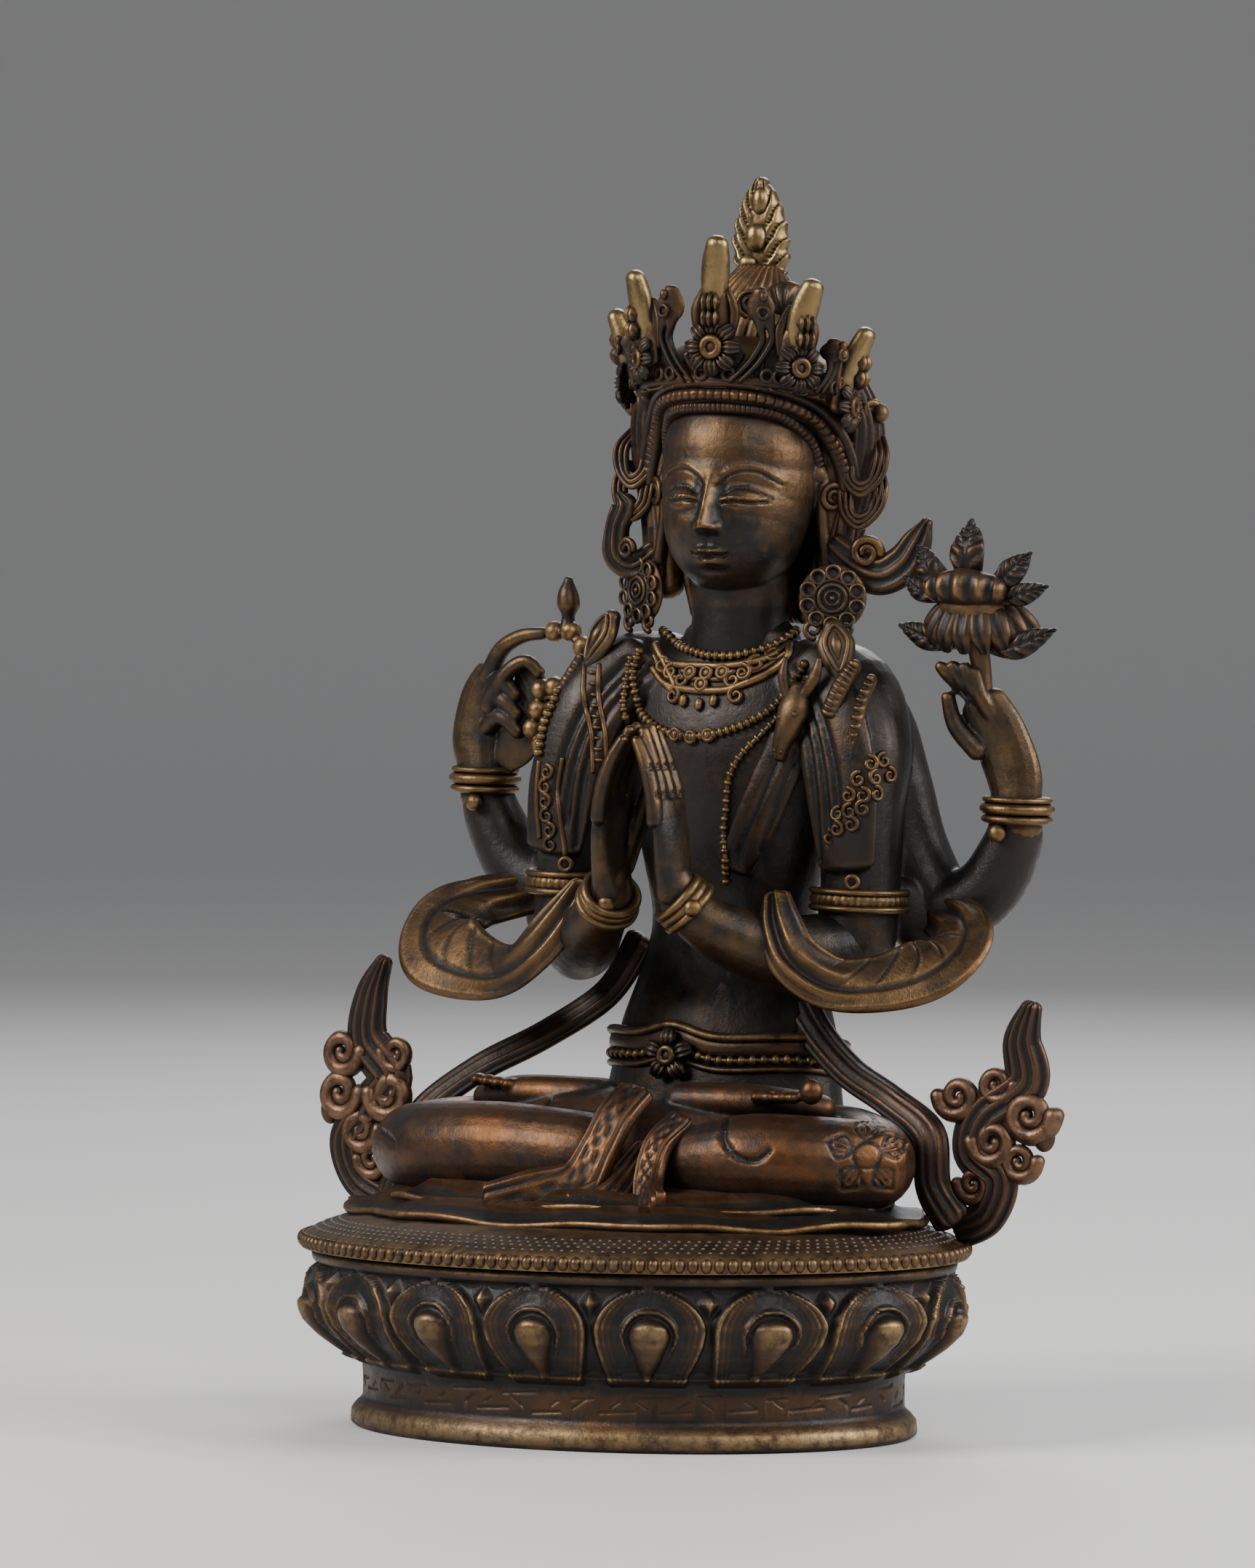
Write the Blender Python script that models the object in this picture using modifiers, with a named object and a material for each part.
"""Seated four-armed Avalokiteshvara on a lotus pedestal: a small cast bronze in two castings.

The figure, its scarf, crown, jewels and seat plate are one casting. The pedestal is the other.
The figure faces -Y, its left hand is at +X, and the pedestal stands on z = 0.
"""

import bisect
import math

import bmesh
import bpy
from mathutils import Matrix, Vector

# Pedestal: lengths run along X, heights above the floor, in metres
OVAL = 0.735
FOOT_LENGTH = 0.0982
FOOT_HEIGHT = 0.0040
BAND_LENGTH = 0.0942
BAND_TOP = 0.0104
BULGE_LENGTH = 0.1140
BULGE_HEIGHT = 0.0200
SHOULDER_LENGTH = 0.1100
SHOULDER_HEIGHT = 0.0268
DRUM_LENGTH = 0.1126
DRUM_STEP = 0.0006
PEDESTAL_HEIGHT = 0.0287
PETAL_COUNT = 16
PETAL_SHIFT = 0.3
PETAL_RISE = 0.0019
BOSS_RISE = 0.0017
COLUMNS_PER_PETAL = 8
BULGE_ROWS = 8

# Seat plate, cast with the figure and resting on the pedestal
JOINT_GAP = 0.0003
SEAT_LENGTH = 0.1166
SEAT_THICKNESS = 0.0023
SEAT_EDGE = 0.0008
SEAT_SIDES = 80
SEAT_BOTTOM = PEDESTAL_HEIGHT + JOINT_GAP
SEAT_TOP = SEAT_BOTTOM + SEAT_THICKNESS

# Figure: its pose and carving are parts of its own height above the seat plate
FIGURE_HEIGHT = 0.1732
PARTS_HIGH = 173
PART = FIGURE_HEIGHT / PARTS_HIGH
LEAN = 0.04
LEAN_FROM = 14
LEAN_FULL = 60
GRAIN = 0.7 * PART
FIGURE_TRIANGLES = 5600

FRONT = Vector((0, -1, 0))
SIDE = Vector((1, 0, 0))
UP = Vector((0, 0, 1))


def at(x, y, z):
    """A place on the figure, given in parts of its height, leaning a little to its left."""
    risen = max(0, z - LEAN_FROM)
    height = z - LEAN * x * min(1, risen / (LEAN_FULL - LEAN_FROM))
    return Vector(((x + LEAN * risen) * PART, y * PART, SEAT_TOP + height * PART))


def smooth_route(stations, steps, closed=False):
    """Stations on one smooth curve through the ones given."""
    count = len(stations)
    route = []
    for i in range(count if closed else count - 1):
        if closed:
            four = [stations[(i + k - 1) % count] for k in range(4)]
        else:
            four = [stations[min(max(i + k - 1, 0), count - 1)] for k in range(4)]
        for step in range(steps):
            t = step / steps
            weights = (
                (-t + 2 * t**2 - t**3) / 2,
                (2 - 5 * t**2 + 3 * t**3) / 2,
                (t + 4 * t**2 - 3 * t**3) / 2,
                (t**3 - t**2) / 2,
            )
            route.append(tuple(sum(w * s[k] for w, s in zip(weights, four)) for k in range(5)))
    return route if closed else route + [tuple(stations[-1])]


def bridge(clay, rings, closed):
    """Skins the rings of corners one to the next, and ends an open run with a fan of faces."""
    pairs = list(zip(rings, rings[1:]))
    if closed:
        pairs.append((rings[-1], rings[0]))
    for lower, upper in pairs:
        for k in range(len(lower)):
            after = (k + 1) % len(lower)
            clay.faces.new((lower[k], lower[after], upper[after], upper[k]))
    if not closed:
        clay.faces.new(list(reversed(rings[0])))
        clay.faces.new(rings[-1])


def strip(clay, stations, face=FRONT, sides=10, steps=3, closed=False):
    """Sweeps an oval along stations of x, y, z, half width and half thickness. The thin way
    looks at face."""
    route = smooth_route([tuple(s) if len(s) == 5 else (*s, s[3]) for s in stations], steps, closed)
    places = [at(*s[:3]) for s in route]
    rings = []
    for i, station in enumerate(route):
        before = places[i - 1] if i or closed else places[0]
        after = places[(i + 1) % len(places)] if closed else places[min(i + 1, len(places) - 1)]
        along = (after - before).normalized()
        looks = face(places[i]) if callable(face) else face
        across = along.cross(looks).normalized()
        thin = across.cross(along).normalized()
        half_width, half_thickness = station[3] * PART, station[4] * PART
        caps = [(0, 1.0)]
        if not closed and i == 0:
            caps = [(-0.75, 0.35), (-0.45, 0.8), (0, 1.0)]
        elif not closed and i == len(route) - 1:
            caps = [(0, 1.0), (0.45, 0.8), (0.75, 0.35)]
        for shift, share in caps:
            centre = places[i] + along * shift * half_thickness
            ring = []
            for k in range(sides):
                turn = math.tau * k / sides
                wide = across * math.cos(turn) * half_width * share
                ring.append(clay.verts.new(centre + wide - thin * math.sin(turn) * half_thickness * share))
            rings.append(ring)
    bridge(clay, rings, closed)


def ball(clay, place, radii):
    """An oval ball at a place on the figure, its radii in parts."""
    matrix = Matrix.Translation(at(*place)) @ Matrix.Diagonal(Vector(radii) * PART).to_4x4()
    bmesh.ops.create_icosphere(clay, subdivisions=2, radius=1, matrix=matrix)


def hoop(clay, centre, radii, half_width, half_thickness, tilt=0.0, count=20):
    """A band round a level oval, its front dipping by tilt parts."""
    stations = []
    for k in range(count):
        turn = math.tau * k / count
        x = centre[0] + radii[0] * math.sin(turn)
        y = centre[1] - radii[1] * math.cos(turn)
        stations.append((x, y, centre[2] - tilt * math.cos(turn), half_width, half_thickness))
    middle = at(*centre)
    strip(clay, stations, lambda p: (p - middle) * Vector((1, 1, 0)), sides=8, steps=1, closed=True)


def ring_on(clay, centre, axis, radius, half_width, half_thickness, count=14):
    """A bangle or a pierced curl: a band round an axis."""
    axis = Vector(axis).normalized()
    first = axis.orthogonal().normalized()
    second = axis.cross(first)
    stations = []
    for k in range(count):
        turn = math.tau * k / count
        offset = first * math.cos(turn) * radius + second * math.sin(turn) * radius
        stations.append((*(Vector(centre) + offset), half_width, half_thickness))
    middle = at(*centre)
    strip(clay, stations, lambda p: p - middle, sides=8, steps=1, closed=True)


def string(clay, places, radius):
    """A string of beads as one thin cord."""
    strip(clay, [(*place, radius, radius) for place in places], sides=6, steps=2)


def build_torso(clay):
    strip(
        clay,
        [
            (0, 29.5, 12, 23, 12.6),
            (0, 30.0, 18, 22, 12.8),
            (0, 30.5, 25, 20.8, 12.4),
            (0, 31.0, 33, 19.4, 11.4),
            (0, 31.5, 41, 16.8, 10.0),
            (0, 31.5, 50, 14.6, 9.4),
            (0, 31.0, 60, 16.4, 10.2),
            (0, 31.0, 70, 19.4, 11.2),
            (0, 31.0, 80, 21.6, 11.6),
            (0, 31.0, 88, 21.0, 10.2),
            (0, 31.0, 93, 17.6, 8.8),
            (0, 31.0, 97, 12.6, 8.2),
            (0, 31.0, 101, 9.6, 8.4),
            (0, 30.5, 112, 8.8, 8.6),
        ],
        sides=20,
    )
    hoop(clay, (0, 31, 31), (20.6, 12.4), 1.9, 1.2, tilt=-1.0, count=24)
    ball(clay, (-1, 18.4, 29.5), (3.0, 1.8, 3.6))


def build_head(clay):
    ball(clay, (0, 29.0, 123), (13.6, 13.6, 13.8))
    ball(clay, (0, 26.0, 116.4), (11.6, 11.8, 12.0))
    ball(clay, (0, 17.2, 108.2), (3.4, 3.0, 2.8))
    strip(clay, [(0, 15.6, 125, 1.0, 1.2), (0, 13.9, 120, 1.4, 1.7), (0, 13.4, 117.6, 2.0, 1.6)])
    ball(clay, (0, 14.2, 112.8), (3.2, 1.6, 1.6))
    for side in (-1, 1):
        strip(
            clay,
            [(side * 14.0, 28.6, 126, 2.8, 1.5), (side * 14.0, 29, 118, 2.6, 1.5),
             (side * 15.4, 29.8, 109, 1.8, 1.3)],
            face=SIDE,
        )
        ball(clay, (side * 15.6, 31.5, 127), (6.6, 6.0, 11.6))


CROWN_MIDDLE_Y = 26.0
# Each crown leaf: its turn from the front in degrees, its flower's height and its tip's height
CROWN_LEAVES = ((0, 145.0, 163.6), (-45, 142.8, 157.8), (45, 142.2, 157.0), (-90, 139.2, 151.6),
                (90, 138.0, 149.6))


def on_crown(turn, reach, z):
    """A place on the crown's oval, in front of or beside the head."""
    angle = math.radians(turn)
    return reach * math.sin(angle), CROWN_MIDDLE_Y - 0.6 * reach * math.cos(angle), z


def build_crown(clay):
    hoop(clay, (0, 28.4, 133.2), (13.8, 13.4), 1.7, 1.6, tilt=-1.2, count=24)
    hoop(clay, (0, 28.2, 137.0), (15.4, 14.0), 1.6, 1.6, tilt=-1.2, count=24)
    hoop(clay, (0, 28.0, 140.6), (16.6, 13.6), 2.2, 1.8, tilt=-2.4, count=24)
    ball(clay, (0, 29, 138), (15.4, 13.2, 9.5))
    strip(
        clay,
        [(0, 31, 142, 10.5, 9.5), (0, 32, 150, 7.2, 7.0), (0, 33, 156, 5.6, 5.4), (0, 33, 160, 4.0, 3.6)],
        sides=12,
    )
    strip(
        clay,
        [(0, 33, 157, 2.6, 2.4), (0, 33, 162, 4.5, 2.6), (0, 33, 167, 4.1, 2.4), (0, 33, 171.6, 1.5, 1.4)],
    )
    for turn, flower, tip in CROWN_LEAVES:
        outward = Vector((math.sin(math.radians(turn)), -math.cos(math.radians(turn)), 0))
        strip(
            clay,
            [
                (*on_crown(turn, 16.0, flower - 7.0), 4.6, 2.4),
                (*on_crown(turn, 18.4, flower), 4.8, 2.2),
                (*on_crown(turn, 19.0, flower + 4.2), 3.2, 2.0),
                (*on_crown(turn, 19.4, tip - 10.0), 2.6, 1.9),
                (*on_crown(turn, 19.8, tip - 6.0), 2.1, 1.9),
                (*on_crown(turn, 20.2, tip - 1.6), 1.8, 1.7),
            ],
            face=outward,
            sides=8,
        )
        ball(clay, on_crown(turn, 20.6, flower), (2.8, 2.4, 2.8))
    for side in (-1, 1):
        strip(
            clay,
            [(*on_crown(side * 14, 17.6, 141), 1.6, 1.4), (*on_crown(side * 24, 18.4, 148), 1.5, 1.3),
             (*on_crown(side * 22, 18.0, 154.4), 2.2, 1.6)],
        )
        strip(
            clay,
            [(side * 19.6, 27.6, 138.5, 3.2, 2.8), (side * 20.0, 29, 132, 3.6, 2.8),
             (side * 18.6, 30, 125, 3.6, 2.8), (side * 16.4, 30, 117, 2.8, 2.4)],
            face=SIDE,
        )
        ball(clay, (side * 22.0, 29.4, 135.0), (2.4, 2.2, 2.4))
        build_earring(clay, side)
    strip(clay, [(16, 30, 112, 2.4, 1.4), (23, 31, 109.4, 2.2, 1.3), (29, 31, 112, 2.0, 1.2),
                 (32, 31, 117, 1.1, 1.1)])
    strip(clay, [(-16, 30, 112, 2.4, 1.4), (-20, 31, 109.4, 2, 1.3), (-22, 31, 112.4, 1.8, 1.2),
                 (-21, 31, 117, 1.1, 1.1)])


def build_earring(clay, side):
    """A flower disc at the ear with a drop that lies on the shoulder."""
    looks = Vector((side * 0.5, -0.87, 0))
    strip(
        clay,
        [(side * 18, 29.0, 99.8, 3.4, 1.5), (side * 18, 29.0, 102.4, 5.4, 1.8),
         (side * 18, 29.0, 105, 6.0, 1.9),
         (side * 18, 29.0, 107.6, 5.4, 1.8), (side * 18, 29.0, 110, 3.4, 1.5)],
        face=looks,
        sides=12,
    )
    strip(
        clay,
        [(side * 18.4, 28.0, 100, 3.4, 1.6), (side * 20.2, 26.2, 95.6, 2.6, 1.6),
         (side * 22.2, 24.6, 91.6, 2.0, 1.4)],
        face=looks,
    )


def build_jewels(clay):
    hoop(clay, (0, 29.6, 97.4), (10.4, 10.4), 1.4, 1.2, tilt=2.6)
    strip(
        clay,
        [(-9.4, 20.8, 94.4, 1.6, 0.9), (-4, 18.8, 88.6, 2.8, 1.1), (0, 18.4, 86.6, 3.2, 1.2),
         (4, 18.8, 88.6, 2.8, 1.1), (9.4, 20.8, 94.4, 1.6, 0.9)],
    )
    string(
        clay,
        [(-16.4, 24.6, 95), (-12.7, 20.2, 87.5), (-7.8, 18.8, 83.3), (-2, 18.6, 81.5), (5, 18.8, 83.3),
         (10.9, 19.6, 86.3), (15.6, 21.6, 90.4), (18, 25, 95)],
        1.0,
    )
    string(clay, [(18, 22.4, 92), (10.4, 19.0, 82), (5.4, 19.0, 74), (3.4, 20.0, 62), (3.2, 21.2, 50)], 0.9)


def build_front_arms(clay):
    """Two arms whose palms meet before the chest, with the shawl over them."""
    for side in (-1, 1):
        strip(
            clay,
            [(side * 14, 30.5, 90, 8.0), (side * 21, 29.5, 88, 8.8), (side * 25.4, 27.4, 80, 8.0),
             (side * 26.4, 25.4, 69, 7.0), (side * 27, 25, 57, 6.5), (side * 26.6, 24.4, 48, 6.8)],
            sides=12,
        )
        strip(
            clay,
            [(side * 26.8, 25, 47.4, 6.6), (side * 19, 14, 46.6, 6.2), (side * 11.6, 6, 50, 4.8),
             (side * 6.8, 2, 56, 3.7)],
            face=UP,
            sides=12,
        )
        strip(
            clay,
            [(side * 6.2, 1.6, 57, 4.2, 2.7), (side * 5.2, 0, 63, 5.6, 2.7), (side * 3.8, -1, 70, 5.4, 2.3),
             (side * 2.2, -1.8, 77, 4.4, 1.9), (side * 1.2, -2.0, 81.6, 2.6, 1.5)],
            face=SIDE,
        )
        strip(clay, [(side * 4.4, 5.4, 63, 1.9), (side * 3.0, 6.4, 69, 1.7), (side * 1.4, 5.4, 74, 1.4)],
              sides=8)
        ring_on(clay, (side * 7.6, 2.8, 54.6), (side * 4.8, 4, -6), 4.7, 1.5, 1.0)
        hoop(clay, (side * 27, 25, 55.6), (7.2, 7.2), 1.5, 1.1, count=16)
        strip(
            clay,
            [(side * 20, 22.6, 92, 3.4, 1.6), (side * 24.6, 19.6, 83, 4.6, 1.8),
             (side * 27.4, 18.6, 72, 4.6, 1.6),
             (side * 28.6, 18.8, 62, 2.6, 1.2)],
        )
    strip(clay, [(17.6, 20.4, 91, 1.6, 1.4), (19.2, 17.8, 86.6, 2.8, 1.9), (18.0, 18.0, 80, 1.6, 1.4)])
    strip(clay, [(22, 22, 96, 2.0, 1.5), (26.6, 20.4, 91, 2.0, 1.5), (29.6, 20.0, 84, 1.8, 1.4)])


MALA = (
    (-36, 31, 97.0), (-32.3, 30, 97.2), (-29.8, 30, 94.6), (-29.2, 30, 91.2), (-31, 30, 88.4),
    (-34.2, 30, 87.6),
    (-38, 30.4, 88.0), (-38, 30.8, 84.6), (-40, 31, 82.0), (-39.4, 31, 78.6), (-37.0, 31, 77.0),
    (-34.6, 32, 76.6),
)


def build_rear_arms(clay):
    """Two raised arms behind: the right hand holds a rosary, the left hand a lotus."""
    for side in (-1, 1):
        strip(
            clay,
            [(side * 16, 33, 89, 7.4), (side * 26, 34, 86, 7.4), (side * 32, 35, 75, 7.0),
             (side * 35.4, 35.6, 63, 6.6),
             (side * 39.6, 35.6, 54, 6.2), (side * 45, 35.4, 58, 5.7), (side * 49.2, 35, 65, 5.1),
             (side * 50.6, 34, 72, 4.2)],
            sides=12,
        )
        hoop(clay, (side * 50.6, 34, 71.4), (5.1, 5.1), 2.1, 1.2, count=14)
        ball(clay, (side * 48.6, 29.2, 70), (1.7, 1.7, 1.7))
    strip(
        clay,
        [(-51.0, 34, 72, 4.0, 2.9), (-52.0, 34, 79.4, 4.6, 2.6), (-50.2, 34, 87.4, 4.0, 2.3),
         (-45.2, 33, 92.8, 2.9, 2.0),
         (-37.4, 31.2, 95.4, 1.8, 1.6)],
    )
    string(clay, MALA, 1.5)
    strip(clay, [(-33, 30, 96.6, 1.4), (-33, 30, 100.0, 2.0), (-33.2, 30, 102.6, 1.1)], sides=8)
    strip(
        clay,
        [(50.6, 34, 73, 4.0, 2.9), (49.6, 34, 78.0, 4.9, 2.8), (46.0, 33, 85, 5.1, 2.6),
         (42.2, 32, 92, 4.2, 2.3),
         (42.2, 31, 99, 2.4, 2.0), (43, 30, 103, 1.9, 1.8)],
    )
    ball(clay, (43, 30, 104.8), (8.4, 4.2, 4.6))
    ball(clay, (43, 29.2, 108.6), (5.8, 3.6, 3.4))
    tips = ((42.4, 117.6), (34.4, 112), (52.0, 112), (33.2, 107), (54.0, 107.6), (30.2, 99.2),
            (57.6, 100.4))
    for tip_x, tip_z in tips:
        root_z = 101 if tip_z < 101 else 106.6
        middle = ((43 + tip_x) / 2, 30, (root_z + tip_z) / 2 + 0.4, 2.8, 1.3)
        strip(clay, [(43, 30, root_z, 2.0, 1.4), middle, (tip_x, 30, tip_z, 0.9, 0.8)], sides=6)


# The scarf from the forearm out to its bend and back, and from the elbow down to its end
SCARF_LOOP = (
    (18.6, 9.4, 54, 3.4, 1.6), (23.0, 7.2, 47.6, 3.8, 1.5), (30.6, 10, 41.6, 4.0, 1.4),
    (39.0, 13, 40.4, 4.4, 1.4),
    (47.4, 16, 42.4, 5.2, 1.4), (50.6, 19.6, 48, 5.6, 1.4), (46.2, 25.6, 53.2, 4.8, 1.5),
    (39.4, 31, 55, 4.2, 1.6),
)
RIGHT_STRAP = (
    (-17.6, 31, 46, 3.8, 1.6), (-22.6, 29.4, 37.4, 3.8, 1.5), (-32, 25.4, 30.4, 3.8, 1.5),
    (-42.0, 20.6, 24.6, 3.8, 1.5),
    (-49.6, 15.4, 17.6, 3.8, 1.5), (-51.6, 13.4, 10.4, 3.6, 1.5), (-54.4, 13.4, 4.4, 3.2, 1.5),
)
LEFT_STRAP = (
    (11.4, 29.6, 42, 4.0, 1.7), (18.4, 26.4, 33.6, 4.0, 1.6), (28.0, 21.4, 27, 4.0, 1.6),
    (38.4, 16.8, 22.6, 4.2, 1.6),
    (46.8, 14.2, 17.4, 4.0, 1.6), (48.4, 13.4, 9, 3.6, 1.5), (51.6, 13.4, 4, 3.2, 1.5),
)
SCROLL_Y = 15.0
RIGHT_SCROLL = (
    (-55.0, 2.6, 2.4), (-61.6, 6.0, 2.4), (-64.0, 12.4, 2.6), (-60.4, 17.4, 3.0), (-55.6, 23.0, 3.2),
    (-60.4, 29.0, 3.0), (-60.0, 36.0, 2.4), (-57.8, 41.4, 1.2),
)
LEFT_SCROLL = (
    (52.6, 2.2, 2.4), (57.4, 4.6, 2.4), (59.4, 10.4, 2.6), (54.8, 14.8, 2.8), (56.6, 21.0, 3.2),
    (63.6, 26.8, 3.2), (62.8, 34.0, 2.6), (64.2, 39.6, 1.4),
)


def build_scarf(clay):
    for side in (-1, 1):
        strip(clay, [(side * x, y, z, w, h) for x, y, z, w, h in SCARF_LOOP], face=Vector((0, -0.88, 0.47)))
    strip(clay, RIGHT_STRAP, face=Vector((-0.2, -0.9, 0.4)))
    strip(clay, LEFT_STRAP, face=Vector((0.2, -0.9, 0.4)))
    for scroll in (RIGHT_SCROLL, LEFT_SCROLL):
        strip(clay, [(x, SCROLL_Y, z, width, 1.5) for x, z, width in scroll], sides=8)
    curls = (
        (-65.4, 26.4, 2.8), (-65.6, 20.2, 3.0), (-55.8, 20.0, 3.4), (-61.4, 15.4, 3.0), (-54.4, 26.0, 2.4),
        (51.6, 24.0, 2.8), (65.0, 21.4, 3.6), (58.4, 17.6, 3.4), (58.6, 25.8, 2.6),
    )
    for x, z, radius in curls:
        ring_on(clay, (x, SCROLL_Y, z), (0, 1, 0), radius * 0.72, 1.5, radius * 0.45, count=12)
    for side in (-1, 1):
        ball(clay, (side * 67.8, SCROLL_Y, 17.6), (1.8, 1.5, 2.4))


def build_legs(clay):
    """Crossed legs with the soles turned up, and the skirt spread over the seat."""
    for side in (-1, 1):
        strip(
            clay,
            [(side * 12, 29, 11, 9.0), (side * 27, 20, 12.4, 9.0), (side * 38, 9, 13, 8.0),
             (side * 42.6, 3, 13, 7.2)],
            sides=12,
        )
    strip(clay, [(-42.6, 2, 13, 7.2), (-34, -4, 13.4, 7.6), (-20, -7, 14, 7.6), (-4, -8, 13.6, 7.0)],
          sides=12)
    strip(clay, [(42.6, 2, 13, 7.4), (36, -4, 13.4, 7.8), (26, -7, 13.6, 7.8), (17, -7.4, 13, 6.4)],
          sides=12)
    strip(clay, [(-24, 8, 13, 10), (0, 2, 13, 11), (24, 8, 13, 10)], face=UP, sides=12)
    strip(clay, [(-31, 7, 21.4, 3.6, 2.6), (-22, 4, 22.4, 3.8, 3.0), (-8, 4, 22.4, 3.6, 3.0)], face=UP)
    strip(clay, [(31, 7, 21.4, 3.2, 2.6), (22, 2, 22.6, 3.8, 3.0), (9, 1, 22.6, 3.8, 3.0)], face=UP)
    strip(clay, [(2, -9, 22.6, 5.4, 2.2), (0, -15, 14, 5.0, 2.0), (-6, -20, 5, 6.4, 2.0)], sides=10)
    strip(clay, [(12, -8, 21.4, 4.4, 2.0), (8, -15, 14, 4.2, 2.0), (9, -20, 5, 5.6, 2.0)], sides=10)
    for length, breadth, height, drop in ((53, 35, 2.2, 9), (46, 27, 5.0, 7)):
        bumps = 11
        outline = []
        for k in range(66):
            turn = math.tau * k / 66
            swell = 1 + 0.025 * math.sin(bumps * turn)
            outline.append((length * swell * math.sin(turn), 1 - breadth * swell * math.cos(turn)))
        low = [clay.verts.new(at(x, y, -1)) for x, y in outline]
        edge = [clay.verts.new(at(x, y, height - 0.8)) for x, y in outline]
        inner = 1 - drop / length
        top = [clay.verts.new(at(x * inner, y * inner, height + 1.4)) for x, y in outline]
        bridge(clay, [low, edge, top], False)


def object_from(clay, name, collection):
    bmesh.ops.recalc_face_normals(clay, faces=clay.faces)
    mesh = bpy.data.meshes.new(name)
    clay.to_mesh(mesh)
    clay.free()
    made = bpy.data.objects.new(name, mesh)
    collection.objects.link(made)
    return made


def bronze(name, colour, roughness):
    material = bpy.data.materials.new(name)
    material.use_nodes = True
    shader = material.node_tree.nodes["Principled BSDF"]
    shader.inputs["Base Color"].default_value = (*colour, 1)
    shader.inputs["Metallic"].default_value = 0.9
    shader.inputs["Roughness"].default_value = roughness
    return material


def settled(made):
    """The object's mesh with its modifiers worked in."""
    bpy.context.view_layer.update()
    graph = bpy.context.evaluated_depsgraph_get()
    mesh = bpy.data.meshes.new_from_object(made.evaluated_get(graph))
    made.modifiers.clear()
    made.data = mesh


def build_seat_plate(collection):
    """The turned plate with rounded edges, drawn out to an oval."""
    half = SEAT_LENGTH / 2
    profile = [
        (0, SEAT_TOP), (half - 2 * SEAT_EDGE, SEAT_TOP),
        (half - 0.3 * SEAT_EDGE, SEAT_TOP - 0.3 * SEAT_EDGE),
        (half, SEAT_TOP - SEAT_EDGE), (half - 0.3 * SEAT_EDGE, SEAT_BOTTOM + 0.3 * SEAT_EDGE),
        (half - SEAT_EDGE, SEAT_BOTTOM), (0, SEAT_BOTTOM),
    ]
    plate = bmesh.new()
    rings = []
    for radius, height in profile[1:-1]:
        ring = []
        for k in range(SEAT_SIDES):
            turn = math.tau * k / SEAT_SIDES
            ring.append(plate.verts.new((radius * math.cos(turn), radius * OVAL * math.sin(turn), height)))
        rings.append(ring)
    bridge(plate, rings, False)
    return object_from(plate, "seat_plate", collection)


def build_figure(collection, cutters):
    clay = bmesh.new()
    for build in (
        build_torso, build_head, build_crown, build_jewels, build_front_arms, build_rear_arms, build_scarf,
        build_legs,
    ):
        build(clay)
    figure = object_from(clay, "figure_on_seat_plate", collection)
    fuse = figure.modifiers.new("fuse", "REMESH")
    fuse.mode = "VOXEL"
    fuse.voxel_size = GRAIN
    settled(figure)
    thin = figure.modifiers.new("thin", "DECIMATE")
    thin.ratio = FIGURE_TRIANGLES / sum(len(face.vertices) - 2 for face in figure.data.polygons)
    settled(figure)
    plate = build_seat_plate(cutters)
    plate.hide_render = True
    plate.display_type = "WIRE"
    seat = figure.modifiers.new("seat", "BOOLEAN")
    seat.operation = "UNION"
    seat.solver = "MANIFOLD"
    seat.object = plate
    figure.data.materials.append(bronze("dark_bronze", (0.09, 0.05, 0.03), 0.42))
    return figure


def oval_turns(count, start, shift):
    """Turns about the oval that part its rim into equal lengths, the first one a share of the
    rim past start."""
    fine = 3600
    lengths = [0.0]
    for k in range(fine):
        turn = start + math.tau * (k + 0.5) / fine
        lengths.append(lengths[-1] + math.hypot(math.cos(turn), OVAL * math.sin(turn)))
    turns = []
    for i in range(count):
        wanted = lengths[-1] * ((i / count + shift) % 1)
        k = bisect.bisect_right(lengths, wanted) - 1
        share = (wanted - lengths[k]) / (lengths[k + 1] - lengths[k])
        turns.append(start + math.tau * (k + share) / fine)
    return turns


def petal_relief(across, height):
    """How far a petal stands out, by its place across a petal (-0.5 to 0.5) and up the bulge (0 to 1)."""
    if not 0 < height < 1:
        return 0.0
    half_width = 0.28 + 0.19 * math.sin(min(height / 0.6, 1) * math.pi / 2)
    if height > 0.6:
        half_width *= math.sqrt(1 - ((height - 0.6) / 0.4) ** 2)
    inside = half_width - abs(across)
    petal = PETAL_RISE * min(1.0, max(0.0, inside / 0.08 + 0.5))
    boss_width = 0.09 + 0.07 * height
    boss = math.exp(-((across / boss_width) ** 2) - ((height - 0.5) / 0.26) ** 4)
    return petal + BOSS_RISE * boss


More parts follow.
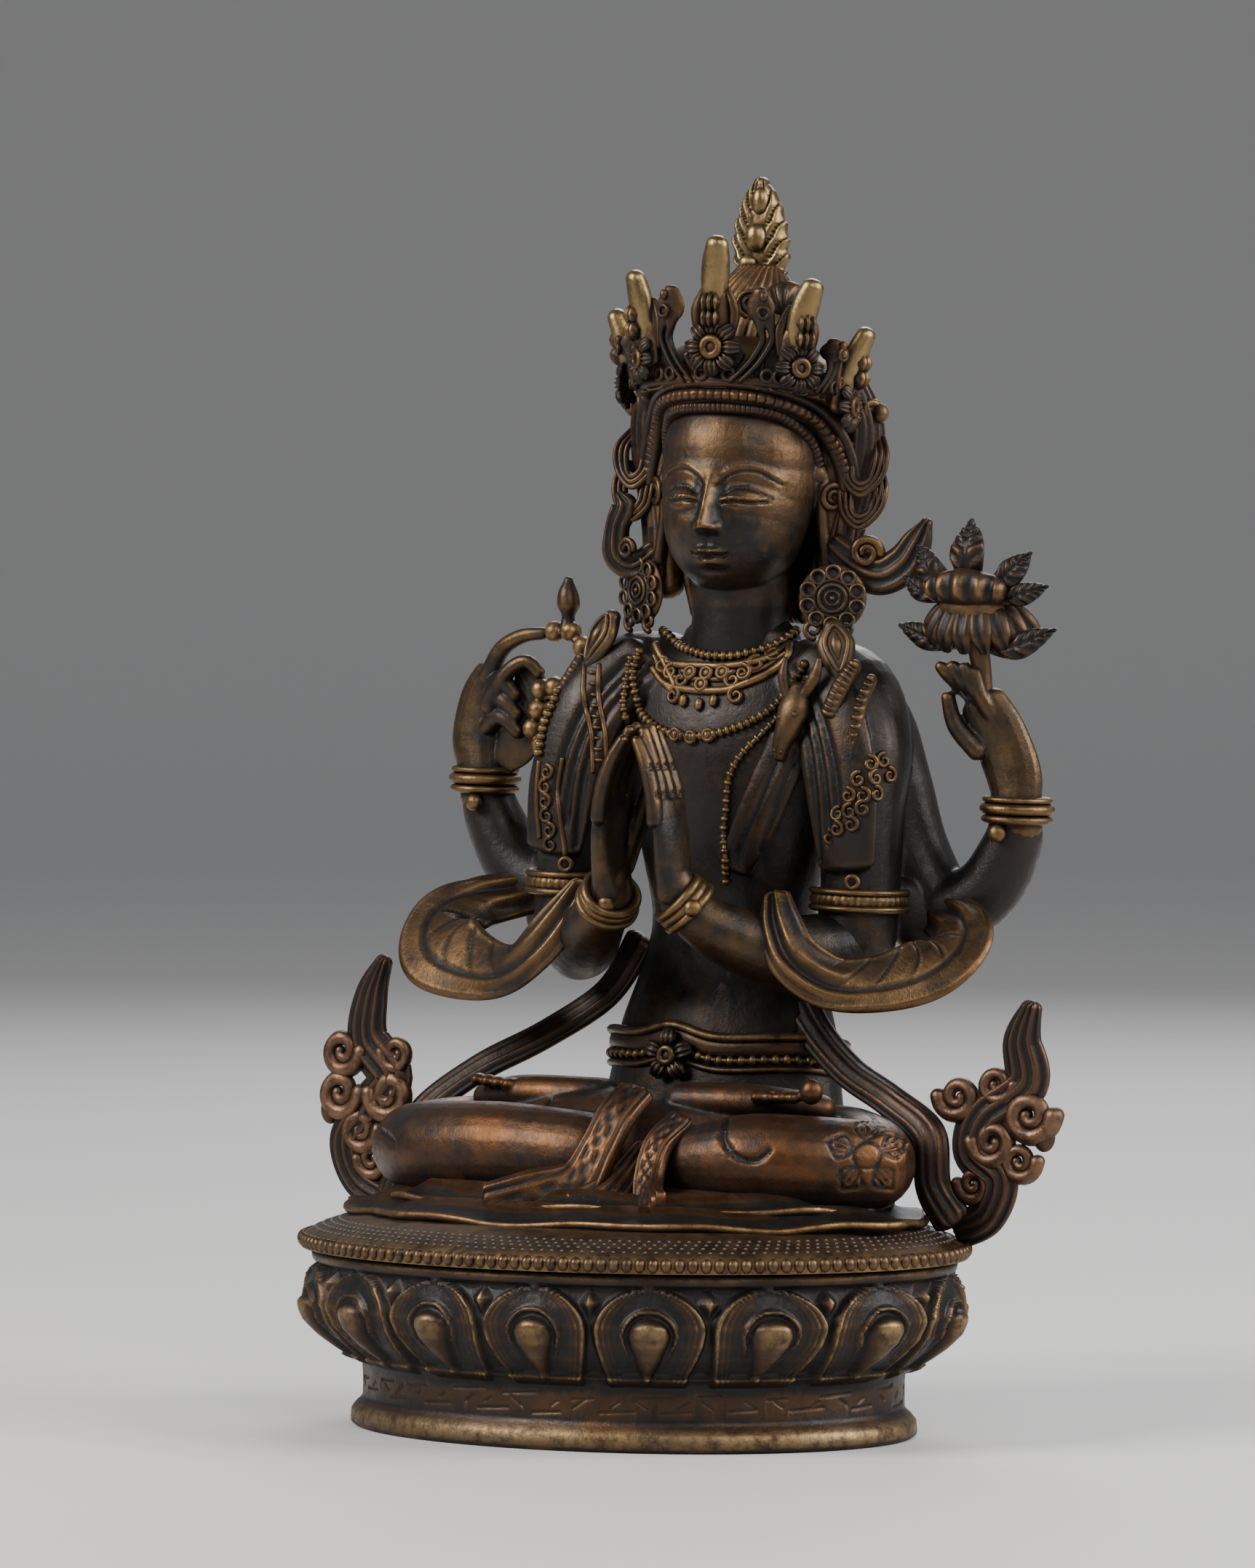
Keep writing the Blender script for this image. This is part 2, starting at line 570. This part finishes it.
def build_pedestal(collection):
    levels = [
        (0.0, FOOT_LENGTH), (FOOT_HEIGHT * 0.7, FOOT_LENGTH), (FOOT_HEIGHT, BAND_LENGTH + 0.001),
        (FOOT_HEIGHT + 0.0006, BAND_LENGTH), (BAND_TOP, BAND_LENGTH),
    ]
    for row in range(1, BULGE_ROWS + 1):
        share = row / BULGE_ROWS
        if share < 0.55:
            rise = math.sin(share / 0.55 * math.pi / 2)
            length = BAND_LENGTH + (BULGE_LENGTH - BAND_LENGTH) * rise
            height = BAND_TOP + (BULGE_HEIGHT - BAND_TOP) * share / 0.55
        else:
            fall = 1 - math.cos((share - 0.55) / 0.45 * math.pi / 2)
            length = BULGE_LENGTH - (BULGE_LENGTH - SHOULDER_LENGTH) * fall
            height = BULGE_HEIGHT + (SHOULDER_HEIGHT - BULGE_HEIGHT) * (share - 0.55) / 0.45
        levels.append((height, length))
    levels += [(SHOULDER_HEIGHT + DRUM_STEP, DRUM_LENGTH), (PEDESTAL_HEIGHT, DRUM_LENGTH)]
    columns = PETAL_COUNT * COLUMNS_PER_PETAL
    turns = oval_turns(columns, -math.pi / 2, PETAL_SHIFT / PETAL_COUNT)
    pedestal = bmesh.new()
    rings = []
    for height, length in levels:
        ring = []
        for k, turn in enumerate(turns):
            across = (k % COLUMNS_PER_PETAL) / COLUMNS_PER_PETAL
            across -= round(across)
            up = (height - BAND_TOP) / (SHOULDER_HEIGHT - BAND_TOP)
            reach = length / 2 + petal_relief(across, up)
            ring.append(pedestal.verts.new((reach * math.cos(turn), reach * OVAL * math.sin(turn), height)))
        rings.append(ring)
    bridge(pedestal, rings, False)
    made = object_from(pedestal, "lotus_pedestal", collection)
    made.data.materials.append(bronze("dark_bronze_pedestal", (0.05, 0.035, 0.027), 0.45))
    made.data.shade_smooth()
    made.data.set_sharp_from_angle(angle=math.radians(40))
    return made


def main():
    for old in list(bpy.data.objects):
        bpy.data.objects.remove(old)
    statue = bpy.data.collections.new("avalokiteshvara_statue")
    cutters = bpy.data.collections.new("joined_forms")
    for collection in (statue, cutters):
        bpy.context.scene.collection.children.link(collection)
    build_figure(statue, cutters)
    build_pedestal(statue)


main()
